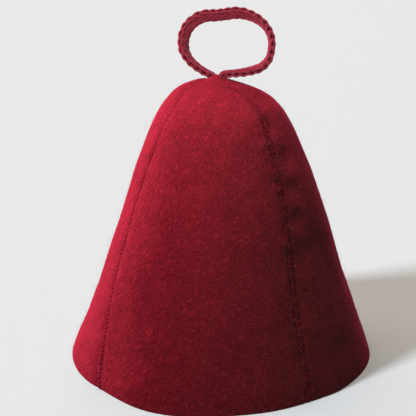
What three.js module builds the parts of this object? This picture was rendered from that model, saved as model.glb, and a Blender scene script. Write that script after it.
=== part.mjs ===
// A felt sauna hat, cut as four pointed gores and sewn edge to edge into a tall bell.
// It stands on its open rim. A flat crocheted loop comes out of the tip, to hang it up by.
// Millimetres, +Z up. The front of the hat looks towards -Y, and azimuths are degrees
// from there towards +X. The origin is on the floor, at the middle of the rim's box.
import * as THREE from 'three';

// Driving dimensions of the bell
const rimWidth = 230;
const crownHeight = 210;
const feltThickness = 3;
const seamGap = 0.4;
const seamDip = 0.8;
const seamReach = 2.5;
const dentDepth = 3;
const tipPeak = 2;
const tipPeakSpread = 28;

// Driving dimensions of the hanging loop
const loopWidth = 62;
const loopHeight = 43;
const loopAside = 6;
const loopBack = 3;
const bandWidth = 9.5;
const bandThickness = 4.5;
const bandClearance = 0.4;
const tailGap = 0.6;
const tailLength = 16;
const footClearance = 0.6;

// Steps of the surfaces
const goreColumns = 18;
const goreRows = 26;
const bandSides = 12;
const ringsPerPoint = 2;

// The bell's outline, from the rim up. up is a share of crownHeight, out and aside are
// shares of half the rimWidth: the section's radius, and how far it stands to the right.
const outline = [
  { up: 0.0, out: 1.0, aside: 0.0 },
  { up: 0.05, out: 0.968, aside: 0.004 },
  { up: 0.12, out: 0.916, aside: 0.01 },
  { up: 0.2, out: 0.863, aside: 0.012 },
  { up: 0.3, out: 0.798, aside: 0.012 },
  { up: 0.4, out: 0.738, aside: 0.012 },
  { up: 0.5, out: 0.68, aside: 0.016 },
  { up: 0.6, out: 0.62, aside: 0.014 },
  { up: 0.7, out: 0.552, aside: 0.008 },
  { up: 0.8, out: 0.479, aside: 0.002 },
  { up: 0.87, out: 0.418, aside: -0.003 },
  { up: 0.92, out: 0.351, aside: -0.008 },
  { up: 0.96, out: 0.254, aside: -0.042 },
  { up: 0.984, out: 0.15, aside: -0.062 },
  { up: 0.995, out: 0.076, aside: -0.024 },
  { up: 1.0, out: 0.0, aside: -0.022 },
];

// The rim seen from above: it bulges between the seams and is drawn in at them.
const rimPlan = [
  { azimuth: -90, out: 1.002 },
  { azimuth: -62, out: 1.0 },
  { azimuth: -48, out: 0.992 },
  { azimuth: -24, out: 1.042 },
  { azimuth: 12, out: 0.985 },
  { azimuth: 31, out: 0.969 },
  { azimuth: 40, out: 0.969 },
  { azimuth: 46, out: 0.988 },
  { azimuth: 53, out: 0.982 },
  { azimuth: 82, out: 1.002 },
  { azimuth: 128, out: 0.984 },
  { azimuth: 172, out: 1.022 },
  { azimuth: 222, out: 0.986 },
  { azimuth: 248, out: 1.01 },
];

// The seams between the gores: their azimuth at the rim, their pull half way, and at the tip.
const seams = [
  { name: 'left', rim: -50, pull: -79, tip: -45 },
  { name: 'right', rim: 32.5, pull: 32.5, tip: 45 },
  { name: 'back_right', rim: 128, pull: 137, tip: 135 },
  { name: 'back_left', rim: 222, pull: 229, tip: 225 },
];

// Each gore runs from one seam to the next.
const gores = ['gore_front', 'gore_right', 'gore_back', 'gore_left'];

// Soft dents and bulges of the standing felt. up is a share of the way from rim to tip,
// wide and tall are shares of half the rimWidth, deep is a share of dentDepth, and a
// negative deep is a bulge.
const dents = [
  { azimuth: -34, up: 0.27, wide: 0.22, tall: 0.42, deep: 0.9 },
  { azimuth: -8, up: 0.2, wide: 0.28, tall: 0.3, deep: -0.45 },
  { azimuth: -22, up: 0.6, wide: 0.16, tall: 0.26, deep: 0.35 },
  { azimuth: 50, up: 0.76, wide: 0.1, tall: 0.26, deep: 0.75 },
  { azimuth: 30, up: 0.74, wide: 0.1, tall: 0.24, deep: -0.4 },
  { azimuth: 52, up: 0.45, wide: 0.18, tall: 0.4, deep: 0.6 },
  { azimuth: 80, up: 0.86, wide: 0.16, tall: 0.12, deep: -0.4 },
  { azimuth: 50, up: 0.93, wide: 0.06, tall: 0.06, deep: 0.6 },
  { azimuth: 118, up: 0.35, wide: 0.2, tall: 0.4, deep: 0.6 },
  { azimuth: 165, up: 0.3, wide: 0.3, tall: 0.35, deep: -0.5 },
  { azimuth: 205, up: 0.55, wide: 0.18, tall: 0.36, deep: 0.6 },
  { azimuth: 250, up: 0.3, wide: 0.2, tall: 0.34, deep: 0.5 },
];

// The loop's route over the crown, from its left foot to its right foot. across is a share
// of loopWidth, up of loopHeight above the feet, back of loopBack, turn is degrees by
// which the flat band is turned over, so that its front edge lifts.
const loopRoute = [
  { across: -0.255, up: 0.045, back: 0.0, turn: 4 },
  { across: -0.337, up: 0.12, back: 0.0, turn: 8 },
  { across: -0.433, up: 0.25, back: 0.1, turn: 16 },
  { across: -0.49, up: 0.4, back: 0.3, turn: 30 },
  { across: -0.496, up: 0.57, back: 0.5, turn: 40 },
  { across: -0.464, up: 0.73, back: 0.7, turn: 48 },
  { across: -0.392, up: 0.85, back: 0.9, turn: 52 },
  { across: -0.28, up: 0.94, back: 1.0, turn: 52 },
  { across: -0.09, up: 0.955, back: 1.0, turn: 48 },
  { across: 0.13, up: 1.0, back: 1.0, turn: 46 },
  { across: 0.26, up: 0.96, back: 0.9, turn: 36 },
  { across: 0.38, up: 0.86, back: 0.7, turn: 22 },
  { across: 0.465, up: 0.715, back: 0.5, turn: 10 },
  { across: 0.5, up: 0.56, back: 0.3, turn: 4 },
  { across: 0.493, up: 0.4, back: 0.1, turn: 2 },
  { across: 0.455, up: 0.235, back: 0.0, turn: 6 },
  { across: 0.375, up: 0.12, back: 0.0, turn: 14 },
  { across: 0.24, up: 0.05, back: 0.0, turn: 10 },
  { across: 0.09, up: 0.02, back: 0.0, turn: 4 },
];

const rimRadius = rimWidth / 2;
const radians = THREE.MathUtils.degToRad;

// Meridian of the bell: x is its radius, y how far aside its centre stands, z its height.
const meridian = new THREE.CatmullRomCurve3(
  outline.map((row) => new THREE.Vector3(
    row.out * rimRadius,
    row.aside * rimRadius,
    row.up * crownHeight,
  )),
  false,
  'centripetal',
);
const meridianLength = meridian.getLength();

// The opening in the tip lets the loop's two tails through, side by side.
const openingCentre = outline[outline.length - 1].aside * rimRadius;
const openingHalfWidth = bandThickness + tailGap / 2 + bandClearance;
const openingHalfDepth = bandWidth / 2 + bandClearance;
const openingRoundness = 6;

// Radius of a round-cornered rectangle's edge in the direction of an angle.
function roundedRadius(halfWidth, halfDepth, roundness, angle) {
  const width = Math.abs(Math.sin(angle)) / halfWidth;
  const depth = Math.abs(Math.cos(angle)) / halfDepth;
  return (width ** roundness + depth ** roundness) ** (-1 / roundness);
}

// Smooth value between the rows of a closed table of azimuths.
function planAt(azimuth) {
  const first = rimPlan[0].azimuth;
  const turned = THREE.MathUtils.euclideanModulo(azimuth - first, 360) + first;
  const rows = [...rimPlan, { azimuth: first + 360, out: rimPlan[0].out }];
  const next = rows.findIndex((row) => row.azimuth > turned);
  const [a, b] = [rows[next - 1], rows[next]];
  const share = THREE.MathUtils.smoothstep(turned, a.azimuth, b.azimuth);
  return THREE.MathUtils.lerp(a.out, b.out, share);
}

// Degrees from one azimuth to another, the short way round.
function degreesBetween(from, to) {
  return THREE.MathUtils.euclideanModulo(to - from + 180, 360) - 180;
}

// Azimuth of a seam at a share of the way up: a curve pulled towards its middle value.
function seamAzimuth(seam, up) {
  const down = 1 - up;
  return down * down * seam.rim + 2 * up * down * seam.pull + up * up * seam.tip;
}

// The plain bell, before its dents: the rim's plan fades out on the way up.
function bellPoint(azimuth, up) {
  const section = meridian.getPointAt(THREE.MathUtils.clamp(up, 0, 1));
  const fade = (1 - section.z / crownHeight) ** 1.5;
  const radius = section.x * (1 + (planAt(azimuth) - 1) * fade);
  const angle = radians(azimuth);
  return new THREE.Vector3(
    section.y + radius * Math.sin(angle),
    -radius * Math.cos(angle),
    section.z,
  );
}

// Outward normal of the plain bell, from its slopes round and up.
function bellNormal(azimuth, up) {
  const turn = 0.5;
  const rise = 0.004;
  const round = bellPoint(azimuth + turn, up).sub(bellPoint(azimuth - turn, up));
  const above = bellPoint(azimuth, Math.min(1, up + rise));
  const upward = above.sub(bellPoint(azimuth, Math.max(0, up - rise)));
  return round.cross(upward).normalize();
}

// How far the felt lies inside the plain bell, from the dents and the drawn-in seams.
function dentAt(azimuth, up) {
  const radius = meridian.getPointAt(up).x;
  let depth = 0;
  for (const dent of dents) {
    const aside = radians(degreesBetween(dent.azimuth, azimuth)) * radius;
    const along = (up - dent.up) * meridianLength;
    const wide = aside / (dent.wide * rimRadius);
    const tall = along / (dent.tall * rimRadius);
    depth += dent.deep * dentDepth * Math.exp(-(wide * wide) - tall * tall);
  }
  for (const seam of seams) {
    const aside = radians(degreesBetween(seamAzimuth(seam, up), azimuth)) * radius;
    depth += seamDip * Math.exp(-((aside / seamReach) ** 2));
  }
  return depth;
}

// The front gore's point stands up a little against the loop.
function peakAt(azimuth, up) {
  const round = degreesBetween(-8, azimuth) / tipPeakSpread;
  const along = ((1 - up) * meridianLength - openingHalfDepth) / (2 * openingHalfDepth);
  return tipPeak * Math.exp(-(round * round) - along * along);
}

// Outer surface of the felt.
function feltPoint(azimuth, up) {
  const point = bellPoint(azimuth, up);
  point.addScaledVector(bellNormal(azimuth, up), -dentAt(azimuth, up));
  point.z += peakAt(azimuth, up);
  return up === 0 ? point.setZ(0) : point;
}

// Share of the way up at which the surface reaches the edge of the tip's opening.
function openingUp(azimuth) {
  const edge = roundedRadius(
    openingHalfWidth,
    openingHalfDepth,
    openingRoundness,
    radians(azimuth),
  );
  let [low, high] = [0.5, 1];
  for (let step = 0; step < 30; step += 1) {
    const middle = (low + high) / 2;
    if (meridian.getPointAt(middle).x > edge) low = middle;
    else high = middle;
  }
  return low;
}

// Joins rings of points into one closed skin. Each ring's first half lies opposite its
// second half, so the first and last ring are closed by strips across them.
function skin(rings) {
  const count = rings[0].length;
  const geometry = new THREE.BufferGeometry().setFromPoints(rings.flat());
  const index = [];
  const quad = (a, b, c, d) => index.push(a, b, c, a, c, d);
  for (let ring = 0; ring < rings.length - 1; ring += 1) {
    for (let side = 0; side < count; side += 1) {
      const next = (side + 1) % count;
      const low = ring * count;
      const high = low + count;
      quad(low + side, low + next, high + next, high + side);
    }
  }
  const last = (rings.length - 1) * count;
  for (let side = 0; side < count / 2 - 1; side += 1) {
    const far = count - 1 - side;
    quad(side, far, far - 1, side + 1);
    quad(last + side, last + side + 1, last + far - 1, last + far);
  }
  geometry.setIndex(index);
  geometry.computeVertexNormals();
  return geometry;
}

// The way through the felt to its inner surface: square to the bell, but level at the rim,
// which is cut off along the floor, and upright at the tip, round the opening.
function throughFelt(azimuth, up, share) {
  const normal = bellNormal(azimuth, up);
  const through = normal.clone();
  through.lerp(new THREE.Vector3(0, 0, 1), THREE.MathUtils.smoothstep(share, 0.88, 1));
  if (share === 0) through.setZ(0);
  return through.multiplyScalar(-feltThickness / through.dot(normal));
}

// A gore is a wall of felt between two seams. Its columns lie closer at the seams.
function goreGeometry(seamBefore, seamAfter) {
  const rings = [];
  for (let row = 0; row <= goreRows; row += 1) {
    const share = row / goreRows;
    const outer = [];
    const inner = [];
    for (let column = 0; column <= goreColumns; column += 1) {
      const across = (1 - Math.cos((Math.PI * column) / goreColumns)) / 2;
      const aim = THREE.MathUtils.lerp(seamBefore.tip, seamAfter.tip, across);
      const up = share * openingUp(aim);
      const halfGap = seamGap / 2 / Math.max(meridian.getPointAt(up).x, openingHalfWidth);
      const margin = THREE.MathUtils.radToDeg(halfGap);
      const from = seamAzimuth(seamBefore, up) + margin;
      const to = seamAzimuth(seamAfter, up) - margin;
      const azimuth = THREE.MathUtils.lerp(from, to, across);
      const point = feltPoint(azimuth, up);
      if (row === goreRows) point.setComponent(0, bellPoint(azimuth, up).x);
      if (row === goreRows) point.setComponent(1, bellPoint(azimuth, up).y);
      outer.push(point);
      inner.push(point.clone().add(throughFelt(azimuth, up, share)));
    }
    rings.push([...outer, ...inner.reverse()]);
  }
  return skin(rings);
}

// Points of the band's quarter turn out of the opening, from upright towards one side.
function footPoints(tailX, footHeight, towards, lastAngle) {
  const bendRadius = bandThickness / 2 + footClearance;
  const points = [];
  for (let angle = 0; angle <= lastAngle; angle += lastAngle / 2) {
    points.push(new THREE.Vector3(
      tailX + towards * bendRadius * (1 - Math.cos(radians(angle))),
      0,
      footHeight + bendRadius * Math.sin(radians(angle)),
    ));
  }
  return points;
}

// The loop is one flat band: up out of the tip, round in an oval, and down beside itself.
function loopGeometry() {
  const edgeHeight = meridian.getPointAt(openingUp(90)).z;
  const footHeight = edgeHeight + bandThickness / 2 + footClearance;
  const tailApart = (bandThickness + tailGap) / 2;
  const leftX = openingCentre - tailApart;
  const rightX = openingCentre + tailApart;
  const middleX = openingCentre + loopAside;
  const route = loopRoute.map((row) => new THREE.Vector3(
    middleX + row.across * loopWidth,
    row.back * loopBack,
    footHeight + row.up * loopHeight,
  ));
  const tailEnd = edgeHeight - tailLength;
  const leftFoot = footPoints(leftX, edgeHeight, -1, 60);
  const rightFoot = footPoints(rightX, edgeHeight, 1, 70).reverse();
  const points = [
    new THREE.Vector3(leftX, 0, tailEnd),
    new THREE.Vector3(leftX, 0, (tailEnd + edgeHeight) / 2),
    ...leftFoot,
    ...route,
    ...rightFoot,
    new THREE.Vector3(rightX, 0, (tailEnd + edgeHeight) / 2),
    new THREE.Vector3(rightX, 0, tailEnd),
  ];
  const feet = leftFoot.length + 2;
  const turns = points.map((_, place) => loopRoute[place - feet]?.turn ?? 0);
  const curve = new THREE.CatmullRomCurve3(points, false, 'centripetal');
  const steps = (points.length - 1) * ringsPerPoint;
  const rings = [];
  for (let step = 0; step <= steps; step += 1) {
    const place = step / ringsPerPoint;
    const before = Math.floor(place);
    const after = Math.min(before + 1, turns.length - 1);
    const turn = radians(THREE.MathUtils.lerp(turns[before], turns[after], place - before));
    rings.push(bandRing(curve.getPoint(step / steps), curve.getTangent(step / steps), turn));
  }
  return skin(rings);
}

// One section of the band: a round-cornered strip, turned about the way it runs.
function bandRing(centre, along, turn) {
  const outward = along.clone().cross(new THREE.Vector3(0, 1, 0)).normalize();
  const across = outward.clone().cross(along);
  const wide = across.clone().multiplyScalar(Math.cos(turn));
  wide.addScaledVector(outward, -Math.sin(turn));
  const thick = outward.clone().multiplyScalar(Math.cos(turn));
  thick.addScaledVector(across, Math.sin(turn));
  const ring = [];
  for (let side = 0; side < bandSides; side += 1) {
    const angle = ((side + 0.5) / bandSides) * 2 * Math.PI;
    const radius = roundedRadius(bandThickness / 2, bandWidth / 2, 4, angle);
    const point = centre.clone();
    point.addScaledVector(wide, radius * Math.cos(angle));
    point.addScaledVector(thick, radius * Math.sin(angle));
    ring.push(point);
  }
  return ring;
}

// Dark red wool felt, and the slightly lighter wool yarn of the loop.
function woolFelt() {
  return new THREE.MeshStandardMaterial({ color: 0x9c2233, roughness: 0.95, metalness: 0 });
}

function woolYarn() {
  return new THREE.MeshStandardMaterial({ color: 0xa02c40, roughness: 0.9, metalness: 0 });
}

const hat = new THREE.Group();

gores.forEach((name, place) => {
  const before = seams[place];
  const after = seams[place + 1] ?? wholeTurnOn(seams[0]);
  const gore = new THREE.Mesh(goreGeometry(before, after), woolFelt());
  gore.name = name;
  hat.add(gore);
});

// The first seam again, one whole turn further, to close the last gore.
function wholeTurnOn(seam) {
  return { ...seam, rim: seam.rim + 360, pull: seam.pull + 360, tip: seam.tip + 360 };
}

const loop = new THREE.Mesh(loopGeometry(), woolYarn());
loop.name = 'hanging_loop';
hat.add(loop);

// The middle of the rim's box comes to the origin.
const middle = new THREE.Box3().setFromObject(hat).getCenter(new THREE.Vector3());
hat.position.set(-middle.x, -middle.y, 0);

export default hat;
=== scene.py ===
# %% [markdown]
# A felt sauna hat, to hang up by its loop
# The real hat is a tall bell of thick wool felt. Four pointed pieces, called gores, are
# sewn edge to edge with a zigzag thread of the felt's own colour, and a flat crocheted
# loop stands in the tip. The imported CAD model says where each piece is, so we load it
# first, and every piece below is shaped on it or measured from it.

# %% Load the frame
import math

import bmesh
import bpy
import numpy as np
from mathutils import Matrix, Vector, kdtree
from mathutils.bvhtree import BVHTree


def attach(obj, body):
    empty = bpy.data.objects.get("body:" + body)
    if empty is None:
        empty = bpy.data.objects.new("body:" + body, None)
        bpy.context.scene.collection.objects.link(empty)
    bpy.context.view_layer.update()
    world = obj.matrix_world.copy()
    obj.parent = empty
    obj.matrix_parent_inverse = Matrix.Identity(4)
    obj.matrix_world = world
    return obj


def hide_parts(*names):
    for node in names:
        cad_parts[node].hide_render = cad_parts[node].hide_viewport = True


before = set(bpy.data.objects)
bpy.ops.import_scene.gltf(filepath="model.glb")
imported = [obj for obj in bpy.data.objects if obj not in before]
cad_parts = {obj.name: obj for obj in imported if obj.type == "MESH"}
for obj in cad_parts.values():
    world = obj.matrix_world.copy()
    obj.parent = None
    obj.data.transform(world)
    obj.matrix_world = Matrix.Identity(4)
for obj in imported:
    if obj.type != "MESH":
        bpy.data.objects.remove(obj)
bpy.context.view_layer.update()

MM = 0.001
GORES = ("gore_front", "gore_right", "gore_back", "gore_left")
print("nodes", sorted(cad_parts))

# %% [markdown]
# The camera
# The hat was seen from a little above, through a long lens that keeps the bell's sides
# nearly parallel. A tilt of 16 degrees and an 85 mm lens put its rim, its tip and its
# loop where the picture has them.

# %% Camera
LENS = 85.0
SENSOR_WIDTH = 36.0
CAMERA_PLACE = (-10 * MM, -705.57 * MM, 314.32 * MM)
CAMERA_TILT = math.radians(90 - 16)

bpy.ops.object.camera_add(location=CAMERA_PLACE, rotation=(CAMERA_TILT, 0, 0))
camera = bpy.context.object
camera.name = "camera"
camera.data.lens = LENS
camera.data.sensor_width = SENSOR_WIDTH
camera.data.clip_start = 0.05
camera.data.clip_end = 60.0
bpy.context.scene.camera = camera
print("camera", [round(value, 4) for value in camera.location])

# %% [markdown]
# Small helpers
# An operator acts on everything that is selected, and the CAD nodes arrive selected.
# So each step first selects its own piece alone. Modifiers are applied from the top down.
# Where a rule is easier said in numbers, we read all of a piece's points as one array,
# move them and write them back.

# %% Select one piece, apply its modifiers, read and write its points
def only(piece):
    """Selects one piece and nothing else."""
    bpy.ops.object.select_all(action="DESELECT")
    piece.select_set(True)
    bpy.context.view_layer.objects.active = piece


def apply_modifiers(piece):
    """Applies all of a piece's modifiers, in their order."""
    only(piece)
    for name in [modifier.name for modifier in piece.modifiers]:
        bpy.ops.object.modifier_apply(modifier=name)


def points_of(piece):
    """A piece's vertices as an array, in metres."""
    flat = np.empty(len(piece.data.vertices) * 3)
    piece.data.vertices.foreach_get("co", flat)
    return flat.reshape(-1, 3)


def set_points(piece, points):
    """Moves a piece's vertices to the rows of an array."""
    piece.data.vertices.foreach_set("co", points.ravel())
    piece.data.update()


def unit(vectors):
    """Vectors of length one."""
    return vectors / np.linalg.norm(vectors, axis=-1, keepdims=True)


# %% [markdown]
# A smooth path through a few points
# Seams, stitches and the loop all follow lines that are known at a few points only. A
# centripetal Catmull-Rom curve runs through every one of them and never overshoots.
# Afterwards the curve is cut into even steps, so that stitches keep their spacing.

# %% Smooth path
STEPS_A_STRETCH = 16


def smooth_path(points, step):
    """Points at even steps along a smooth curve through the given rows. Only the first
    three columns are a place: the others, such as a turn, are carried along."""
    rows = np.asarray(points, float)
    rows = np.vstack([2 * rows[0] - rows[1], rows, 2 * rows[-1] - rows[-2]])
    fine = []
    for a, b, c, d in zip(rows, rows[1:], rows[2:], rows[3:]):
        ab, bc, cd = (np.linalg.norm(q[:3] - p[:3]) ** 0.5 for p, q in ((a, b), (b, c), (c, d)))
        for t in np.linspace(0, bc, STEPS_A_STRETCH, endpoint=False)[:, None]:
            low = a + (b - a) * (t + ab) / ab
            middle = b + (c - b) * t / bc
            high = c + (d - c) * (t - bc) / cd
            first = low + (middle - low) * (t + ab) / (ab + bc)
            second = middle + (high - middle) * t / (bc + cd)
            fine.append((first + (second - first) * t / bc).ravel())
    fine.append(rows[-2])
    fine = np.array(fine)
    travelled = np.r_[0, np.cumsum(np.linalg.norm(np.diff(fine[:, :3], axis=0), axis=1))]
    count = max(2, int(round(travelled[-1] / step)) + 1)
    places = np.linspace(0, travelled[-1], count)
    return np.column_stack([np.interp(places, travelled, column) for column in fine.T])


# %% [markdown]
# The gores, and the lines they are cut along
# A gore of the frame is a wall of loose triangles. A copy is merged into one closed
# skin and its triangles are paired into squares, which a subdivision surface rounds
# evenly. Before that, we walk up the two sharp corners of each cut side, because the
# seams will be sewn along them.

# %% Copy the gores and find their cut sides
SHARP = math.radians(50)
SKEW = math.radians(60)
MERGE = 0.01 * MM
RIM_TOUCH = 0.1 * MM
FIRST_RISE = 2 * MM


def copy_of_gore(name):
    """A merged copy of one CAD gore, mostly of four-sided faces."""
    piece = bpy.data.objects.new(name.replace("gore", "felt"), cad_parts[name].data.copy())
    bpy.context.scene.collection.objects.link(piece)
    piece.data.materials.clear()
    only(piece)
    bpy.ops.object.mode_set(mode="EDIT")
    bpy.ops.mesh.select_all(action="SELECT")
    bpy.ops.mesh.remove_doubles(threshold=MERGE)
    bpy.ops.mesh.tris_convert_to_quads(face_threshold=SHARP, shape_threshold=SKEW)
    bpy.ops.object.mode_set(mode="OBJECT")
    return piece


def cut_sides(piece):
    """For each of a gore's two cut sides, its points on the felt's outer face from the rim
    up, and the ways from the inner face to the outer one."""
    mesh = bmesh.new()
    mesh.from_mesh(piece.data)
    sharp = {edge for edge in mesh.edges if edge.calc_face_angle(0) > SHARP}
    at_rim = [
        vertex for vertex in mesh.verts
        if vertex.co.z < RIM_TOUCH and sum(edge in sharp for edge in vertex.link_edges) == 3
    ]
    walks = []
    for corner in at_rim:
        walk, ahead = [corner], corner
        while ahead:
            ahead = next((
                edge.other_vert(walk[-1]) for edge in walk[-1].link_edges
                if edge in sharp
                and edge.other_vert(walk[-1]) not in walk
                and (len(walk) > 1 or edge.other_vert(corner).co.z > FIRST_RISE)
            ), None)
            if ahead:
                walk.append(ahead)
            if ahead and sum(edge in sharp for edge in ahead.link_edges) == 3:
                break
        walks.append(np.array([vertex.co for vertex in walk]))
    mesh.free()
    walks.sort(key=lambda walk: -np.linalg.norm(walk[0][:2]))
    sides = []
    for outer in walks[:2]:
        inner = min(walks[2:], key=lambda walk: np.linalg.norm(walk[0] - outer[0]))
        sides.append((outer, unit(outer - inner)))
    return sides


felts = {name: copy_of_gore(name) for name in GORES}
sides = [side for name in GORES for side in cut_sides(felts[name])]
for name, piece in felts.items():
    odd = sum(len(face.vertices) != 4 for face in piece.data.polygons)
    print(piece.name, len(piece.data.polygons), "faces,", odd, "not square")
print("cut sides", [len(outer) for outer, _ in sides])

# %% [markdown]
# The seams
# Each seam lies half way between the cut sides of two neighbours. At even steps along it
# we keep its place, the way out of the felt and the way across the seam.

# %% Seam lines
SEAM_STEP = 0.25 * MM


def seam_between(one, other):
    """A seam's places, the ways out of the felt and the ways across it, at even steps."""
    places = (one[0] + other[0]) / 2
    out = unit(one[1] + other[1])
    rows = smooth_path(np.hstack([places, out]), SEAM_STEP)
    along = unit(np.gradient(rows[:, :3], axis=0))
    out = unit(rows[:, 3:])
    across = unit(np.cross(along, out))
    return rows[:, :3], unit(np.cross(across, along)), across


seams = []
waiting = list(sides)
while waiting:
    one = waiting.pop(0)
    nearest = min(
        range(len(waiting)), key=lambda place: np.linalg.norm(waiting[place][0][0] - one[0][0])
    )
    seams.append(seam_between(one, waiting.pop(nearest)))
seams.sort(key=lambda seam: math.atan2(seam[0][0][0], -seam[0][0][1]))
SEAM_NAMES = ("back_left", "left", "right", "back_right")
for name, seam in zip(SEAM_NAMES, seams):
    print("seam", name, round(len(seam[0]) * SEAM_STEP / MM), "mm long, from", seam[0][0].round(3))

# %% [markdown]
# Where the needle goes through
# A zigzag stitch jumps from one side of the seam to the other and goes down through the
# felt at each turn. Hand-guided felt never feeds evenly, so each hole is a little out of
# line. The holes are settled here, because they shape the felt and carry the thread.

# %% Needle holes
HALF_STITCH = 1.6 * MM
ZIGZAG_WIDTH = 3.9 * MM
UNEVEN = 0.32 * MM
SEAM_START, SEAM_END = 0.8 * MM, 5 * MM
SEED = 7
rng = np.random.default_rng(SEED)


def needle_holes(seam):
    """Index along the seam and sideways offset of each needle hole, from the rim up."""
    length = len(seam[0]) * SEAM_STEP
    along = np.arange(SEAM_START, length - SEAM_END, HALF_STITCH)
    along = along + rng.normal(0, UNEVEN, len(along))
    across = np.where(np.arange(len(along)) % 2, 0.5, -0.5) * ZIGZAG_WIDTH
    across = across + rng.normal(0, UNEVEN, len(along))
    return np.clip((along / SEAM_STEP).astype(int), 0, len(seam[0]) - 1), across


holes = [needle_holes(seam) for seam in seams]
hole_places = [
    seam[0][index] + seam[2][index] * across[:, None]
    for seam, (index, across) in zip(seams, holes)
]
print("needle holes", [len(places) for places in hole_places])

# %% [markdown]
# Tools to shape the felt
# Felt is a thick, springy sheet. Its slow swells and small lumps come from a Displace
# modifier with a cloud texture, and what the stitches do to it is strong on a seam and
# fades beside it. A vertex group says how near each vertex is to a seam or a hole, and
# the modifier moves each vertex by that share.

# %% Nearness to the seams and to the needle holes
EVERY = 4
LEAST_WEIGHT = 0.01
OUT_RISE = 0.05


def tree_of(points):
    """A search tree of points."""
    tree = kdtree.KDTree(len(points))
    for index, point in enumerate(points):
        tree.insert(point, index)
    tree.balance()
    return tree


def outwardness(normal, place):
    """Above 0 where a surface faces out of the hat, and more so the more it does."""
    return normal.dot(Vector((place.x, place.y, OUT_RISE)))


def outside(vertex):
    """True on the felt's outer face."""
    return outwardness(vertex.normal, vertex.co) > 0


def near_group(piece, name, tree, reach, keep):
    """A vertex group that is 1 on the tree's points and fades out over the reach, of the
    vertices that pass the test."""
    group = piece.vertex_groups.new(name=name)
    for vertex in piece.data.vertices:
        weight = math.exp(-((tree.find(vertex.co)[2] / reach) ** 2))
        if weight > LEAST_WEIGHT and keep(vertex):
            group.add([vertex.index], weight, "REPLACE")


def clouds(name, size, depth=1):
    """A procedural cloud texture for a Displace modifier: size in metres."""
    texture = bpy.data.textures.new(name, "CLOUDS")
    texture.noise_scale = size
    texture.noise_depth = depth
    texture.noise_basis = "ORIGINAL_PERLIN"
    return texture


def displace(piece, name, strength, group, texture=None, middle=0.0):
    """Adds a Displace modifier along the vertex normals: strength in metres."""
    modifier = piece.modifiers.new(name, "DISPLACE")
    modifier.strength = strength
    modifier.mid_level = middle
    modifier.vertex_group = group
    modifier.texture = texture
    modifier.texture_coords = "LOCAL"
    return modifier


# every fourth place of the four seams, one seam after the other
seam_places, seam_outs, seam_ways = (
    np.vstack([seam[part][::EVERY] for seam in seams]) for part in range(3)
)
seam_tree = tree_of(seam_places)
print("seam places", len(seam_places))

# %% [markdown]
# Rounding the gores
# A bisect just above the rim keeps its soft cut edge crisp when two levels of
# subdivision round the wall. Only the strip that the stitches work on is cut finer
# still, so that the rest stays light. A Displace modifier then pushes the cut sides
# across the seam, until the two layers of felt lie a little way into each other.

# %% Round the felt and draw its cut sides together
RIM_HOLD = 1.2 * MM
SEAM_STRIP = 5.0 * MM
STRIP_EDGE = -0.02
SIDE_REACH = 6 * MM
SIDE_ALIGNED = 0.6
HALF_GAP = 1.4 * MM


def rounded_gore(piece):
    """Rounds a merged gore, with finer faces along its seams and a cut just above its rim."""
    only(piece)
    bpy.ops.object.mode_set(mode="EDIT")
    bpy.ops.mesh.select_all(action="SELECT")
    bpy.ops.mesh.bisect(plane_co=(0, 0, RIM_HOLD), plane_no=(0, 0, 1))
    bpy.ops.object.mode_set(mode="OBJECT")
    rounding = piece.modifiers.new("rounding", "SUBSURF")
    rounding.levels = rounding.render_levels = 2
    apply_modifiers(piece)
    for face in piece.data.polygons:
        outer = outwardness(face.normal, face.center) > STRIP_EDGE
        face.select = outer and seam_tree.find(face.center)[2] < SEAM_STRIP
    bpy.ops.object.mode_set(mode="EDIT")
    bpy.ops.mesh.select_mode(type="FACE")
    bpy.ops.mesh.subdivide(number_cuts=2, smoothness=0)
    bpy.ops.object.mode_set(mode="OBJECT")


def on_cut_side(vertex):
    """True on a gore's cut sides, whose normals point along the way across the seam."""
    way = seam_ways[seam_tree.find(vertex.co)[1]]
    return abs(vertex.normal.dot(way)) > SIDE_ALIGNED


for piece in felts.values():
    rounded_gore(piece)
    near_group(piece, "cut_sides", seam_tree, SIDE_REACH, on_cut_side)
    displace(piece, "closed_gap", HALF_GAP, "cut_sides")
    apply_modifiers(piece)
    print(piece.name, len(piece.data.polygons), "faces after rounding")

# %% [markdown]
# One level for both sides of a seam
# Where two edges of felt are pulled together by tight stitches, they end up level, and
# only a shallow groove shows. Two rounded corners would show a deep crack instead, or a
# lip. So rays find the felt a few millimetres to each side of a seam, and the strip
# between them is brought to their mean, less the groove's dip.

# %% Level the strips beside the seams
RAY_HEIGHT = 6 * MM
LEVEL_REACH, LEVEL_FADE = 3.8 * MM, 2.4 * MM
RISE_OWN_SIDE, RISE_PAST_SEAM = 0.04, 0.15
DEEPEST = -1.3 * MM
LEAST_LEVEL = 0.1 * MM
LEAST_FACING = -0.1

# dip of the felt on the seam, puckers beside it and pits at its needle holes, all in mm
DIP, PUCKER, PIT = range(3)
SEAM_LOOKS = {
    "back_left": (0.2, 1.5, 0.8),
    "left": (0.05, 0.7, 0.4),
    "right": (0.2, 1.6, 0.8),
    "back_right": (0.2, 1.5, 0.8),
}


def felt_surface():
    """A ray tree of all four shaped gores."""
    places, faces, shift = [], [], 0
    for piece in felts.values():
        places.append(points_of(piece))
        faces += [[shift + index for index in face.vertices] for face in piece.data.polygons]
        shift += len(piece.data.vertices)
    return BVHTree.FromPolygons(np.vstack(places).tolist(), faces)


def on_felt(tree, place, out):
    """The felt's surface under a place, looked for along the way in."""
    start = Vector(place) + Vector(out) * RAY_HEIGHT
    hit = tree.ray_cast(start, -Vector(out), 2 * RAY_HEIGHT)[0]
    return np.array(hit if hit else place)


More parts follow.
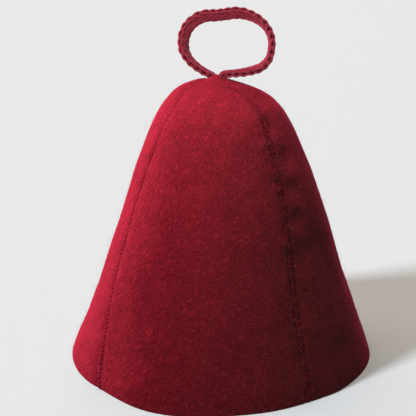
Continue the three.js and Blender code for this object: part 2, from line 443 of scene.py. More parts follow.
def level_between(tree, place, out, way):
    """The felt's mean height beside one place of a seam, over that place."""
    beside = (place + side * LEVEL_REACH * way for side in (-1, 1))
    return sum((on_felt(tree, spot, out) - place) @ out for spot in beside) / 2


def level_seams(piece, levels):
    """Brings the rounded corner beside each seam to the seam's levels. Aside is how far a
    point lies from the seam on the gore's own side. Past the seam, where aside is below 0,
    the felt dives under its neighbour, so no gap stays."""
    points = points_of(piece)
    facing = unit(points[:, :2].mean(axis=0))
    for vertex in piece.data.vertices:
        _, index, distance = seam_tree.find(vertex.co)
        place, out, way = seam_places[index], seam_outs[index], seam_ways[index]
        if distance > LEVEL_REACH or vertex.normal.dot(Vector(out)) < LEAST_FACING:
            continue
        offset = points[vertex.index] - place
        height = offset @ out
        inwards = facing * np.linalg.norm(place[:2]) - place[:2]
        aside = offset @ way * np.sign(inwards @ way[:2])
        level = levels[index] + aside * (RISE_OWN_SIDE if aside > 0 else RISE_PAST_SEAM)
        if height > DEEPEST:
            share = min(1, max(0, (LEVEL_REACH - aside) / LEVEL_FADE))
            points[vertex.index] += out * (level - height) * share
    set_points(piece, points)


rounded_tree = felt_surface()
seam_levels = np.array([
    level_between(rounded_tree, place, out, way) - SEAM_LOOKS[name][DIP] * MM
    for name, seam in zip(SEAM_NAMES, seams)
    for place, out, way in zip(*(part[::EVERY] for part in seam))
])
seam_levels = np.maximum(seam_levels, LEAST_LEVEL)
for piece in felts.values():
    level_seams(piece, seam_levels)
lowest, highest = (value.round(2) for value in (seam_levels.min() / MM, seam_levels.max() / MM))
print("felt over the seam lines, mm", lowest, "to", highest)

# %% [markdown]
# Swells, puckers and folds
# Hand-handled felt swells and sinks a little everywhere, and the pull of the thread
# puckers it along each seam. A few folds and dents are this hat's own. They cross the
# right seam, so all gores get the same ones, and the felt stays level there. The
# gathered tip stands up a little in front.

# %% Swell the felt and pucker it along the seams
SWELL_SIZE, SWELL = 34 * MM, 1.6 * MM
LUMP_SIZE, LUMP = 9 * MM, 0.5 * MM
PUCKER_SIZE, PUCKER_REACH = 6 * MM, 4.5 * MM
TIP_REACH, TIP_LIFT = 7 * MM, 2.4 * MM
FREE_HEIGHT = 6 * MM

# place, reach and height in mm: a fold out of the felt is above 0, a dent below
FOLDS = (
    ((-59, -66, 64), 16, 1.8), ((-62, -77, 39), 14, 1.0), ((-52, -62, 91), 14, 0.8),
    ((28, -47, 170), 4, 0.7), ((36, -51, 151), 4, 0.7), ((43, -65, 104), 4, 0.8),
    ((26, -20, 199), 7, -2.4), ((33, -33, 181), 6, -1.8), ((45, -36, 158), 8, -1.6),
    ((50, -43, 138), 8, -1.4), ((54, -50, 119), 8, -1.2), ((57, -57, 98), 8, -1.0),
    ((17, -18, 206), 4, -1.0),
)

swell_cloud = clouds("felt_swell", SWELL_SIZE)
lump_cloud = clouds("felt_lumps", LUMP_SIZE, 2)
pucker_cloud = clouds("seam_puckers", PUCKER_SIZE)


def fold(piece):
    """Raises the folds and presses the dents into the felt's outer face."""
    points = points_of(piece)
    ways = np.array([vertex.normal if outside(vertex) else (0, 0, 0)
                     for vertex in piece.data.vertices])
    heights = sum(
        height * np.exp(-(np.linalg.norm(points / MM - place, axis=1) / reach) ** 2)
        for place, reach, height in FOLDS
    )
    points += ways * heights[:, None] * MM
    set_points(piece, points)


front_tip = max(points_of(felts["gore_front"]), key=lambda place: place[2])
for piece in felts.values():
    free = piece.vertex_groups.new(name="off_the_floor")
    for vertex in piece.data.vertices:
        free.add([vertex.index], min(1, max(0, vertex.co.z / FREE_HEIGHT)), "REPLACE")
    displace(piece, "swell", SWELL, "off_the_floor", swell_cloud, 0.5)
    displace(piece, "lumps", LUMP, "off_the_floor", lump_cloud, 0.5)
    for name, seam in zip(SEAM_NAMES, seams):
        near_group(piece, f"near_{name}", tree_of(seam[0][::EVERY]), PUCKER_REACH, outside)
        displace(piece, f"puckers_{name}", SEAM_LOOKS[name][PUCKER] * MM, f"near_{name}",
                 pucker_cloud, 0.5)
    apply_modifiers(piece)
for piece in felts.values():
    fold(piece)
    near_group(piece, "near_tip", tree_of([front_tip]), TIP_REACH, outside)
    displace(piece, "tip", TIP_LIFT, "near_tip").direction = "Z"
    apply_modifiers(piece)
print("folds and dents", len(FOLDS))

# %% [markdown]
# The rim
# A felt hat that stands on its rim presses it flat on the floor. So the lowest points
# of each gore are set to the floor's height, and the felt is shaded smooth.

# %% Set the rim flat on the floor
RIM_CONTACT = 0.45 * MM

for piece in felts.values():
    points = points_of(piece)
    flat = points[:, 2] < points[:, 2].min() + RIM_CONTACT
    points[flat, 2] = 0
    set_points(piece, points)
    only(piece)
    bpy.ops.object.shade_smooth()
    print(piece.name, "highest", round(points[:, 2].max() / MM, 1), "mm, flat at", int(flat.sum()))

# %% [markdown]
# Tubes of thread and yarn
# Thread and yarn are drawn as curves with a round bevel, one spline for each strand.
# A radius at each point lets a strand swell in the middle of a stitch and slip under
# the next one. The curves are then turned into one mesh with closed ends.

# %% Strands
END_MERGE = 0.001 * MM


def strands(name, lines, radius, sides_level, smooth):
    """One mesh of closed tubes. Each line is rows of x, y, z and a share of the radius."""
    curve = bpy.data.curves.new(name, "CURVE")
    curve.dimensions = "3D"
    curve.bevel_depth = radius
    curve.bevel_resolution = sides_level
    curve.use_fill_caps = True
    curve.resolution_u = smooth
    for line in lines:
        spline = curve.splines.new("NURBS")
        spline.points.add(len(line) - 1)
        spline.points.foreach_set("co", np.insert(line[:, :3], 3, 1, axis=1).ravel())
        spline.points.foreach_set("radius", line[:, 3].copy())
        spline.order_u = 3
        spline.use_endpoint_u = True
    piece = bpy.data.objects.new(name, curve)
    bpy.context.scene.collection.objects.link(piece)
    only(piece)
    bpy.ops.object.convert(target="MESH")
    piece = bpy.context.object
    only(piece)
    bpy.ops.object.mode_set(mode="EDIT")
    bpy.ops.mesh.select_all(action="SELECT")
    bpy.ops.mesh.remove_doubles(threshold=END_MERGE)
    bpy.ops.mesh.normals_make_consistent(inside=False)
    bpy.ops.object.mode_set(mode="OBJECT")
    bpy.ops.object.shade_smooth()
    triangles = sum(len(face.vertices) - 2 for face in piece.data.polygons)
    print(name, len(lines), "strands,", triangles, "triangles")
    return piece


# %% [markdown]
# The zigzag thread
# The thread runs straight over the felt from one hole to the next, pulled tight enough
# to sink in at its ends, and dives at each hole. Rays cast at the shaped felt find its
# surface beside each hole. The holes themselves are pressed in once the thread has
# its place: a Displace modifier sinks the felt round each of them.

# %% Sew the seams
THREAD_RADIUS = 0.28 * MM
DIVE = 0.9 * MM
HOLE_THINNING = 0.8
PIT_REACH = 0.85 * MM

# share of the way from hole to hole, height over the felt in mm
OVER_THE_FELT = ((0.06, -0.1), (0.22, 0.12), (0.5, 0.3), (0.78, 0.12), (0.94, -0.1))

felt_tree = felt_surface()


def zigzag(seam, index, across):
    """The thread's line along one seam: in at each hole, and over the felt between them."""
    rows = []
    for here, there in zip(range(len(index)), range(1, len(index))):
        a = seam[0][index[here]] + seam[2][index[here]] * across[here]
        b = seam[0][index[there]] + seam[2][index[there]] * across[there]
        out = seam[1][index[here]]
        start, end = on_felt(felt_tree, a, out), on_felt(felt_tree, b, out)
        rows.append([*(start - out * DIVE), HOLE_THINNING])
        for share, lift in OVER_THE_FELT:
            rows.append([*(start + (end - start) * share + out * lift * MM), 1.0])
    rows = np.array(rows)
    rows[:, 2] = np.maximum(rows[:, 2], THREAD_RADIUS)
    return rows


threads = []
for name, seam, (index, across) in zip(SEAM_NAMES, seams, holes):
    line = zigzag(seam, index, across)
    threads.append(strands(f"seam_thread_{name}", [line], THREAD_RADIUS, sides_level=0,
                           smooth=2))

for piece in felts.values():
    for name, places in zip(SEAM_NAMES, hole_places):
        near_group(piece, f"holes_{name}", tree_of(places), PIT_REACH, outside)
        displace(piece, f"pits_{name}", -SEAM_LOOKS[name][PIT] * MM, f"holes_{name}")
    apply_modifiers(piece)
    # the pits beside the rim stay above the floor
    points = points_of(piece)
    points[:, 2] = np.maximum(points[:, 2], 0)
    set_points(piece, points)
    piece.vertex_groups.clear()

# %% [markdown]
# The crocheted loop
# The loop is a flat crocheted strap about as wide as a finger nail. It comes up out of
# the tip, goes round in an oval and back down beside itself. The route is a short
# table, as shares of the loop's width and height, with the turn that lays the strap
# over towards the back at the top. Its flat sides are slanted posts of yarn, and a braid
# of V-shaped chain stitches runs along both edges, with a dark eye in each.

# %% The loop's route
LOOP_WIDTH = 62 * MM
LOOP_HEIGHT = 43 * MM
LOOP_BACK = 3 * MM
LOOP_MIDDLE = 3.47 * MM
LOOP_ASIDE = 6 * MM
LOOP_DEPTH = -0.5 * MM
TAIL_APART = 2.55 * MM
OPENING_HEIGHT = 209.3 * MM
FOOT_BEND = 2.85 * MM
FOOT_LEAN = 1.6 * MM
TAIL = 16 * MM

# across, up, back, turn in degrees
LOOP_ROUTE = (
    (-0.255, 0.045, 0.0, 4), (-0.337, 0.12, 0.0, 8), (-0.433, 0.25, 0.1, 16),
    (-0.49, 0.4, 0.3, 30), (-0.496, 0.57, 0.5, 40), (-0.464, 0.73, 0.7, 48),
    (-0.392, 0.85, 0.9, 52), (-0.28, 0.94, 1.0, 52), (-0.09, 0.965, 1.0, 48),
    (0.13, 1.0, 1.0, 46), (0.26, 0.96, 0.9, 36), (0.388, 0.86, 0.7, 22),
    (0.477, 0.715, 0.5, 10), (0.515, 0.56, 0.3, 4), (0.51, 0.4, 0.1, 2),
    (0.475, 0.235, 0.0, 6), (0.39, 0.118, 0.0, 14), (0.24, 0.05, 0.0, 10),
    (0.09, 0.02, 0.0, 4),
)


def loop_rows():
    """The strap's middle line from one tail's end to the other's, with its turn."""
    opening = LOOP_MIDDLE - LOOP_ASIDE
    foot = OPENING_HEIGHT + FOOT_BEND
    rows = [(opening - TAIL_APART, 0, OPENING_HEIGHT - TAIL, 0)]
    rows += [(opening - TAIL_APART, 0, OPENING_HEIGHT - TAIL / 2, 0)]
    for angle in np.radians((0, 30, 60)):
        aside = FOOT_BEND * (1 - math.cos(angle)) + FOOT_LEAN * math.sin(angle)
        height = OPENING_HEIGHT + FOOT_BEND * math.sin(angle)
        rows.append((opening - TAIL_APART - aside, 0, height, 0))
    for across, up, back, turn in LOOP_ROUTE:
        place = (LOOP_MIDDLE + across * LOOP_WIDTH, back * LOOP_BACK, foot + up * LOOP_HEIGHT)
        rows.append((*place, math.radians(turn)))
    for angle in np.radians((70, 35, 0)):
        aside = FOOT_BEND * (1 - math.cos(angle)) - FOOT_LEAN * math.sin(angle)
        height = OPENING_HEIGHT + FOOT_BEND * math.sin(angle)
        rows.append((opening + TAIL_APART + aside, 0, height, 0))
    rows += [(opening + TAIL_APART, 0, OPENING_HEIGHT - TAIL / 2, 0)]
    rows += [(opening + TAIL_APART, 0, OPENING_HEIGHT - TAIL, 0)]
    return np.array(rows) + (0, LOOP_DEPTH, 0, 0)


LOOP_STEP = 0.25 * MM
loop_line = smooth_path(loop_rows(), LOOP_STEP)
loop_place = loop_line[:, :3]
loop_along = unit(np.gradient(loop_place, axis=0))
outward = unit(np.cross(loop_along, (0, 1, 0)))
sideways = np.cross(outward, loop_along)
turn_cos, turn_sin = (wave(loop_line[:, 3:]) for wave in (np.cos, np.sin))
loop_wide = sideways * turn_cos - outward * turn_sin
loop_thick = outward * turn_cos + sideways * turn_sin
loop_length = (len(loop_line) - 1) * LOOP_STEP
print("strap", round(loop_length / MM), "mm long with its tails")

# %% [markdown]
# One crochet stitch, repeated
# Each stitch has the two arms of its V on both edges, and two posts on both flat sides.
# Only one of each is drawn up, as a few points: how far along, how far towards the edge
# and how far out of the flat side. Mirrored and repeated, they make the whole strap.

# %% Crochet the strap
STITCH = 5.3 * MM
YARN_RADIUS = 0.95 * MM
YARN_UNEVEN = 0.07 * MM
INNER_ARM_HEIGHT = -0.85
FIRST_STITCH, LAST_STITCH = 0.15 * STITCH, 1.4 * STITCH

# along in stitches, towards the edge in mm, out of the flat side in mm, share of the radius
FRONT_ARM = np.array((
    (-0.12, 3.1, 0.45, 0.7), (0.08, 3.75, 0.55, 0.9), (0.3, 4.0, 0.95, 0.95),
    (0.62, 3.95, 1.65, 0.95), (0.95, 3.6, 1.8, 0.85), (1.22, 2.9, 1.45, 0.6),
))
BACK_ARM = np.array((
    (-0.3, 3.2, 0.5, 0.7), (0.1, 3.75, 0.65, 0.95), (0.5, 3.85, 0.95, 1.0),
    (0.9, 3.8, 1.15, 1.0), (1.3, 3.5, 1.05, 0.85), (1.6, 3.0, 0.7, 0.6),
))
POST = np.array((
    (0.0, 2.9, 1.2, 0.8), (0.25, 1.9, 1.5, 1.05), (0.7, 0.0, 1.6, 1.15),
    (1.15, -1.9, 1.6, 1.05), (1.4, -2.9, 1.4, 0.85),
))


def on_strap(start, template, edge, face, shift=0.0):
    """A stitch template laid on the strap. An edge is 1 or -1, and so is a flat side, but
    for an arm that is drawn in a little."""
    where = (start + (template[:, 0] + shift) * STITCH) / LOOP_STEP
    index = np.clip(where.round().astype(int), 0, len(loop_place) - 1)
    wide = loop_wide[index] * template[:, 1:2] * edge * MM
    thick = loop_thick[index] * template[:, 2:3] * face * MM
    return np.hstack([loop_place[index] + wide + thick, template[:, 3:]])


def uneven(line):
    """A strand's line with small unevennesses, and its radii as they were."""
    return line + np.hstack([rng.normal(0, YARN_UNEVEN, (len(line), 3)), np.zeros((len(line), 1))])


lines = []
for start in np.arange(FIRST_STITCH, loop_length - LAST_STITCH, STITCH):
    for face in (1, -1):
        lines.append(on_strap(start, FRONT_ARM, -1, face if face > 0 else INNER_ARM_HEIGHT))
        lines.append(on_strap(start, BACK_ARM, 1, face))
    for face in (1, -1):
        for shift in (0.0, 0.5):
            lines.append(on_strap(start, POST, 1, face, shift))
loop_yarn = strands("loop_yarn", [uneven(line) for line in lines], YARN_RADIUS,
                    sides_level=1, smooth=2)

# %% [markdown]
# A tube to bend along a line
# The strap's inside and every loose fibre are thin tubes that follow a line. We model a
# straight tube once, as a closed cylinder with cuts along it, and keep its points and
# faces. A copy of it is bent by moving each ring of points to its place on the line.

# %% A straight tube with cuts
def straight_tube(sides, cuts):
    """Points and faces of a closed tube of radius 1 that runs from z = 0 to z = 1."""
    bpy.ops.object.select_all(action="DESELECT")
    bpy.ops.mesh.primitive_cylinder_add(vertices=sides, radius=1, depth=1)
    tube = bpy.context.object
    mesh = tube.data
    for part in (*mesh.polygons, *mesh.edges, *mesh.vertices):
        part.select = False
    for edge in mesh.edges:
        a, b = (mesh.vertices[index].co.z for index in edge.vertices)
        edge.select = abs(a - b) > 0.5
    bpy.ops.object.mode_set(mode="EDIT")
    bpy.ops.mesh.select_mode(type="EDGE")
    bpy.ops.mesh.subdivide(number_cuts=cuts)
    bpy.ops.object.mode_set(mode="OBJECT")
    points = points_of(tube) + (0, 0, 0.5)
    faces = [list(face.vertices) for face in mesh.polygons]
    bpy.data.objects.remove(tube)
    return points, faces


def piece_from(name, points, faces):
    """A smooth-shaded piece from points and faces."""
    mesh = bpy.data.meshes.new(name)
    mesh.from_pydata(points.tolist(), [], faces)
    piece = bpy.data.objects.new(name, mesh)
    bpy.context.scene.collection.objects.link(piece)
    only(piece)
    bpy.ops.object.shade_smooth()
    print(name, sum(len(face) - 2 for face in faces), "triangles")
    return piece


# %% [markdown]
# The inside of the strap
# Between the stitches the eye meets the yarn that runs inside them, in their shade. A
# flat core, wider than it is thick, closes the strap there. Its dark colour is that
# shade, painted in.

# %% Core of the strap
CORE_HALF_WIDTH = 3.1 * MM
CORE_HALF_THICKNESS = 0.9 * MM
CORE_SIDES, CORE_RING = 10, 2.5 * MM
CORE_INSET = 8

core_points, core_faces = straight_tube(CORE_SIDES, int(loop_length / CORE_RING))
core_at = CORE_INSET + core_points[:, 2] * (len(loop_place) - 1 - 2 * CORE_INSET)
core_at = core_at.round().astype(int)
core_points = (
    loop_place[core_at]
    + loop_wide[core_at] * core_points[:, :1] * CORE_HALF_WIDTH
    + loop_thick[core_at] * core_points[:, 1:2] * CORE_HALF_THICKNESS
)
loop_core = piece_from("loop_core", core_points, core_faces)

# %% [markdown]
# Loose fibres
# Felt is a mat of wool fibres, and some always work loose. Most lie along the surface,
# some stand up and soften the hat's outline. One fibre is a three-sided tube, copied
# some thousands of times on each gore and bent each time in its own way. Real fibres are
# 0.03 mm thick: these are drawn twice as thick, so that they show.

# %% Scatter the fibres
FIBRES_A_GORE, FIBRE_LENGTH, FIBRE_RADIUS = 4200, 3.4 * MM, 0.032 * MM
LOOP_FIBRES, LOOP_FIBRE_LENGTH, LOOP_FIBRE_RADIUS = 700, 2.2 * MM, 0.026 * MM
FIBRE_ROOT = 0.2 * MM
LENGTH_SPREAD, CURL_SPREAD = 0.35, 0.35
STANDING = 0.3
STANDING_LIFT, LYING_LIFT = (0.25, 0.8), (0.06, 0.2)
ARCH = 2.4
TAPER = 0.7
LEAST_AREA = 1e-12

fibre_points, fibre_faces = straight_tube(3, 3)
fibre_faces = [np.array(face) for face in fibre_faces]


def each(rows):
    """Rows of one fibre each, made ready to be spread over the tube's points."""
    return rows[:, None, :]


def fibre_field(name, piece, count, length, radius):
    """Loose fibres all over a piece: places are drawn by the area of its triangles."""
    mesh = piece.data
    mesh.calc_loop_triangles()
    corners = np.empty(len(mesh.loop_triangles) * 3, int)
    mesh.loop_triangles.foreach_get("vertices", corners)
    a, b, c = (points_of(piece)[column] for column in corners.reshape(-1, 3).T)
    normal = np.cross(b - a, c - a)
    area = np.linalg.norm(normal, axis=1)
    normal = normal / np.maximum(area, LEAST_AREA)[:, None]
    chosen = rng.choice(len(area), count, p=area / area.sum())
    u, v = rng.random((2, count, 1))
    u, v = np.where(u + v > 1, 1 - u, u), np.where(u + v > 1, 1 - v, v)
    a, b, c, normal = a[chosen], b[chosen], c[chosen], normal[chosen]
    root = a + (b - a) * u + (c - a) * v - normal * FIBRE_ROOT
    way = unit(np.cross(normal, rng.normal(size=(count, 3))))
    aside = np.cross(normal, way)
    long = length * rng.lognormal(0, LENGTH_SPREAD, (count, 1))
    lift = np.where(rng.random((count, 1)) < STANDING,
                    rng.uniform(*STANDING_LIFT, (count, 1)),
                    rng.uniform(*LYING_LIFT, (count, 1)))
    curl = rng.normal(0, CURL_SPREAD, (count, 1))
    share = fibre_points[:, 2][None, :, None]
    line = (
        each(root) + each(way * long) * share
        + each(normal * (long * lift + FIBRE_ROOT)) * np.sin(share * ARCH)
        + each(aside * long * curl) * share ** 2
    )
    thin = radius * (1 - TAPER * share)
    line = line + thin * each(aside) * fibre_points[None, :, :1]
    line = line + thin * each(normal) * fibre_points[None, :, 1:2]
    # a fibre that would go through the floor is turned back up
    line[:, :, 2] = np.abs(line[:, :, 2])
    steps = np.arange(count) * len(fibre_points)
    faces = [face for step in steps for face in [(part + step).tolist() for part in fibre_faces]]
    return piece_from(name, line.reshape(-1, 3), faces)


fuzz = {
    name: fibre_field(name.replace("gore", "fuzz"), felts[name], FIBRES_A_GORE,
                      FIBRE_LENGTH, FIBRE_RADIUS)
    for name in GORES
}
loop_fuzz = fibre_field("fuzz_loop", loop_yarn, LOOP_FIBRES, LOOP_FIBRE_LENGTH, LOOP_FIBRE_RADIUS)

# %% [markdown]
# Colours and nodes
# One function turns a colour as a screen shows it into the linear numbers that shaders
# use. Another adds a node with its settings, its values and what is linked into it.

# %% Colour and node helpers
def linear(colour):
    """A hex colour, as a screen shows it, as the linear colour that shaders use."""
    shares = [int(colour[place:place + 2], 16) / 255 for place in (1, 3, 5)]
    return (*[c / 12.92 if c <= 0.04045 else ((c + 0.055) / 1.055) ** 2.4 for c in shares], 1)


def add_node(finish, kind, values=None, links=None, **settings):
    """Adds a node to a finish, with its settings, its values and what is linked into it."""
    node = finish.node_tree.nodes.new(kind)
    for name, value in settings.items():
        setattr(node, name, value)
    for socket, value in (values or {}).items():
        node.inputs[socket].default_value = value
    for socket, source in (links or {}).items():
        finish.node_tree.links.new(source, node.inputs[socket])
    return node


def new_finish(name, **values):
    """An empty finish and its shader, with values that are the same all over."""
    finish = bpy.data.materials.new(name)
    finish.use_nodes = True
    finish.node_tree.nodes.clear()
    shader = add_node(finish, "ShaderNodeBsdfPrincipled",
                      {key.replace("_", " "): value for key, value in values.items()})
    add_node(finish, "ShaderNodeOutputMaterial", links={"Surface": shader.outputs["BSDF"]})
    return finish, shader


# %% [markdown]
# Dyed wool felt
# Wool felt is made by rubbing and wetting carded wool until its fibres lock together,
# and here it was dyed a deep raspberry red. It has no gloss, but fine fibres at its
# surface catch the light at the limbs, which the sheen gives. Up close one sees short
# bundles of fibres, 0.5 to 1.2 mm wide and 4 to 6 mm long, which is a little coarser
# than real ones, so that they show. Their colour is lighter where they stand proud and
# darker in the gaps between: partly the wool's own uneven tone, partly painted shade.
# A cloud pattern that is drawn out in one way and bent by a second one gives such
# streaks, and several of them, turned differently, are laid over each other.

# %% Felt
WANDER_SIZE, WANDER = 8 * MM, 6 * MM
STREAK_FROM, STREAK_TO = 0.5, 0.7
FIBRE_TONE_AND_SHADE, MOTTLE_TONE = 0.85, 0.45
RELIEF_STRENGTH = 0.8


def fibre_streaks(finish, places, thickness, length, turn):
    """A pattern that is 1 on streaks of a thickness and a length, turned out of the upright."""
    turned = add_node(finish, "ShaderNodeMapping",
                      {"Rotation": turn, "Scale": (thickness, thickness, length)},
                      {"Vector": places}, vector_type="TEXTURE")
    cloud = add_node(finish, "ShaderNodeTexNoise", {"Scale": 1.0, "Detail": 1.0},
                     {"Vector": turned.outputs["Vector"]})
    return add_node(finish, "ShaderNodeMapRange",
                    {"From Min": STREAK_FROM, "From Max": STREAK_TO},
                    {"Value": cloud.outputs["Fac"]},
                    interpolation_type="SMOOTHSTEP").outputs["Result"]


def sum_of(finish, parts):
    """The weighted sum of several patterns: pairs of an output and its weight."""
    total = None
    for output, weight in parts:
        part = add_node(finish, "ShaderNodeMath", {1: weight, 2: 0.0}, {0: output},
                        operation="MULTIPLY_ADD")
        if total is not None:
            finish.node_tree.links.new(total, part.inputs[2])
        total = part.outputs[0]
    return total


def wool_finish(name, dark, light, layers, mottle_size, relief, **values):
    """Dyed wool: streaks of fibres, lighter where they stand proud and darker in the gaps
    between, partly the wool's own uneven tone and partly painted shade, over slow changes
    of tone. Mottle size and relief are in metres."""
    finish, shader = new_finish(name, **values)
    places = add_node(finish, "ShaderNodeTexCoord").outputs["Object"]
    drift = add_node(finish, "ShaderNodeTexNoise", {"Scale": 1 / WANDER_SIZE, "Detail": 1.0},
                     {"Vector": places})
    wander = add_node(finish, "ShaderNodeVectorMath", {1: (WANDER,) * 3},
                      {0: drift.outputs["Color"], 2: places}, operation="MULTIPLY_ADD")
    fibres = sum_of(finish, [
        (fibre_streaks(finish, wander.outputs[0], *layer[1:]), layer[0]) for layer in layers
    ])
    mottle = add_node(finish, "ShaderNodeTexNoise", {"Scale": 1 / mottle_size, "Detail": 3.0},
                      {"Vector": places})
    # the fibre streaks lighten proud fibres and darken the gaps: partly the wool's own tone,
    # partly painted shade
    tone = sum_of(finish, [(fibres, FIBRE_TONE_AND_SHADE), (mottle.outputs["Fac"], MOTTLE_TONE)])
    mix = add_node(finish, "ShaderNodeMix", {6: linear(dark), 7: linear(light)}, {0: tone},
                   data_type="RGBA")
    finish.node_tree.links.new(mix.outputs[2], shader.inputs["Base Color"])
    bump = add_node(finish, "ShaderNodeBump", {"Distance": relief, "Strength": RELIEF_STRENGTH},
                    {"Height": fibres})
    finish.node_tree.links.new(bump.outputs["Normal"], shader.inputs["Normal"])
    return finish


# weight, thickness, length, turn out of the upright
FELT_LAYERS = (
    (0.35, 1.2 * MM, 6 * MM, (0, math.radians(40), 0)),
    (0.35, 1.1 * MM, 6 * MM, (0, math.radians(-35), 0)),
    (0.35, 1.2 * MM, 5 * MM, (math.radians(35), 0, 0)),
    (0.25, 0.5 * MM, 4 * MM, (0, math.radians(70), 0)),
    (0.25, 0.5 * MM, 4 * MM, (math.radians(-50), 0, 0)),
)
felt_finish = wool_finish(
    "dyed_wool_felt", "#701c26", "#cc2b3e", FELT_LAYERS, mottle_size=12 * MM, relief=0.48 * MM,
    Roughness=0.95, Specular_IOR_Level=0.0, Sheen_Weight=0.35, Sheen_Roughness=0.4,
    Sheen_Tint=linear("#e03b66"),
)
print("finish", felt_finish.name, len(felt_finish.node_tree.nodes), "nodes")

# %% [markdown]
# Wool yarn, sewing thread and loose fibres
# The loop's yarn is wool too, spun and dyed a little more towards pink, and its twist
# shows as short slanting bundles; as on the felt, the darker gaps between them are partly
# painted shade. Its core is the same yarn with the stitches' shade painted into its
# colour, so it is only darker. The sewing thread is spun cotton, finer and more even, of
# nearly the felt's own red. Loose fibres are single, so they have hardly any streaks of
# their own, only slow changes of tone along them, and no gloss.

# %% Yarn, thread and fibres
YARN_LAYERS = (
    (0.6, 0.5 * MM, 3 * MM, (0, math.radians(30), 0)),
    (0.5, 0.5 * MM, 3 * MM, (math.radians(40), math.radians(80), 0)),
)
THIN_LAYERS = ((1.0, 0.4 * MM, 1.5 * MM, (0, math.radians(30), 0)),)
yarn_finish = wool_finish(
    "spun_wool_yarn", "#80222f", "#c43c54", YARN_LAYERS, mottle_size=4 * MM, relief=0.2 * MM,
    Roughness=0.9, Specular_IOR_Level=0.1, Sheen_Weight=0.2, Sheen_Roughness=0.4,
    Sheen_Tint=linear("#f0a0b4"),
)
# the core's dark colour is the stitches' shade, painted in
core_shade_finish = wool_finish(
    "inner_yarn_painted_shade", "#2c0a11", "#45101c", YARN_LAYERS, mottle_size=4 * MM, relief=0.2 * MM,
    Roughness=0.95, Specular_IOR_Level=0.1,
)
thread_finish = wool_finish(
    "sewing_thread", "#8c2030", "#d63248", THIN_LAYERS, mottle_size=3 * MM, relief=0.05 * MM,
    Roughness=0.9, Specular_IOR_Level=0.0, Sheen_Weight=0.35, Sheen_Roughness=0.4,
    Sheen_Tint=linear("#e03f69"),
)
fibre_finish = wool_finish(
    "loose_wool_fibres", "#861a2b", "#b03045", THIN_LAYERS, mottle_size=8 * MM, relief=0.01 * MM,
    Roughness=0.9, Specular_IOR_Level=0.02,
)
made = (yarn_finish, core_shade_finish, thread_finish, fibre_finish)
print("finishes", [finish.name for finish in made])

# %% [markdown]
# What belongs to what
# Every piece rides on the hat's one body. The shaped gores and the crocheted strap
# stand for the plain CAD ones, which stay hidden for collisions.

# %% Dress the pieces and hand them over
def hand_over(piece, finish, slot, *nodes):
    """Gives a piece its finish and its body, and hides the CAD nodes it stands for. The
    slot is not used.
    """
    piece.data.materials.clear()
    piece.data.materials.append(finish)
    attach(piece, "root")
    if nodes:
        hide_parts(*nodes)


for name in GORES:
    hand_over(felts[name], felt_finish, "felt", name)
    hand_over(fuzz[name], fibre_finish, "felt")
for thread in threads:
    hand_over(thread, thread_finish, "felt")
hand_over(loop_yarn, yarn_finish, "yarn", "hanging_loop")
hand_over(loop_core, core_shade_finish, "yarn")
hand_over(loop_fuzz, fibre_finish, "yarn")
felt_pieces = [*felts.values(), *fuzz.values(), *threads]
loop_pieces = [loop_yarn, loop_core, loop_fuzz]
hat_pieces = felt_pieces + loop_pieces
print("pieces", len(hat_pieces))

# %% [markdown]
# Floor
# The hat stands on a wide sheet of matt paper that runs on behind it, pressed smooth
# and without gloss, so the eye gets one even, pale tone. The hat would tint the paper
# red, and the paper would lift the hat's shade, if light went back and forth between
# them. In the picture neither shows, so neither throws its light on other things.

# %% Lay the floor
FLOOR_RADIUS = 40.0

bpy.ops.object.select_all(action="DESELECT")
bpy.ops.mesh.primitive_circle_add(vertices=96, radius=FLOOR_RADIUS, fill_type="TRIFAN")
floor = bpy.context.object
floor.name = "floor"
floor_finish, floor_shader = new_finish("pale_paper", Roughness=0.9, Specular_IOR_Level=0.1)
floor_shader.inputs["Base Color"].default_value = linear("#cfcdcc")
floor.data.materials.append(floor_finish)
for piece in (floor, *felts.values()):
    piece.visible_diffuse = False
print("floor", 2 * FLOOR_RADIUS, "m across")

# %% [markdown]
# Light
# A soft key light from the left throws the shadow, the crown is much brighter than the
# foot of the bell, and the right side falls into deep shade. Lamps close to the hat
# give that fall-off. The floor gets its own even light, as a studio does with flags:
# each light is linked to what it lights, and everything casts a shadow in it. Deep reds
# look too pure under white light alone, so the lamps behind and at the right are a
# little green, which greys them. The loop has two more soft lights of its own.

# %% Lights
HAT_MIDDLE = Vector((0, 0, 130 * MM))


def way_to(azimuth, height):
    """The way from the hat to a light. Azimuth 0 is the front and 90 the right."""
    azimuth, height = math.radians(azimuth), math.radians(height)
    flat = math.cos(height)
    return Vector((math.sin(azimuth) * flat, -math.cos(azimuth) * flat, math.sin(height)))


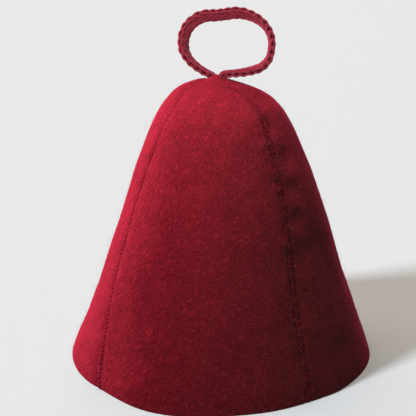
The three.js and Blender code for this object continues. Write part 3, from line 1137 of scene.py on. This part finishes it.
def light(name, kind, azimuth, height, distance, strength, softness, lit, colour="#ffffff"):
    """A light that faces the hat. softness is a sun's angle in degrees or a lamp's width in
    metres, and lit are the pieces that take light from it: all cast shadows in it."""
    way = way_to(azimuth, height)
    bpy.ops.object.light_add(
        type=kind, location=HAT_MIDDLE + way * distance,
        rotation=way.to_track_quat("Z", "Y").to_euler(),
    )
    lamp = bpy.context.object
    lamp.name = name
    lamp.data.energy = strength
    lamp.data.color = linear(colour)[:3]
    if kind == "SUN":
        lamp.data.angle = math.radians(softness)
    else:
        lamp.data.shape = "DISK"
        lamp.data.size = softness
    lamp.visible_camera = False
    receivers = bpy.data.collections.new(f"lit_by_{name}")
    for piece in lit:
        receivers.objects.link(piece)
    lamp.light_linking.receiver_collection = receivers


# name, kind, azimuth, height, distance in m, strength, softness, pieces, colour
light("key_on_floor", "SUN", -59, 33, 2.0, 4.1, 10, [floor], "#e4f2ff")
light("sky_on_floor", "SUN", -150, 45, 2.0, 3.1, 90, [floor], "#fff7ee")
light("left_lamp", "AREA", -120, 2, 0.6, 6.7, 0.24, hat_pieces)
light("crown_lamp", "AREA", -36, 57, 0.3, 0.57, 0.1, felt_pieces)
light("front_lamp", "AREA", -30, 2, 0.6, 0.28, 0.24, hat_pieces)
light("back_lamp", "AREA", 155, 12, 0.6, 3.8, 0.24, hat_pieces, "#c8f0e8")
light("fill_lamp", "AREA", 50, 10, 0.6, 0.9, 0.24, hat_pieces, "#10ffac")
light("top_lamp", "AREA", 150, 66, 0.6, 1.5, 0.2, hat_pieces)
light("loop_from_above", "SUN", -40, 60, 2.0, 2.7, 50, loop_pieces)
light("loop_from_below", "SUN", 10, -36, 2.0, 8.6, 60, loop_pieces)

AIR_STRENGTH = 0.045
world = bpy.data.worlds.new("air")
world.use_nodes = True
world.node_tree.nodes["Background"].inputs["Color"].default_value = linear("#d8e8e4")
world.node_tree.nodes["Background"].inputs["Strength"].default_value = AIR_STRENGTH
bpy.context.scene.world = world
bpy.context.scene.view_settings.view_transform = "Standard"
bpy.context.scene.view_settings.look = "None"
print("lights", len(bpy.data.lights))
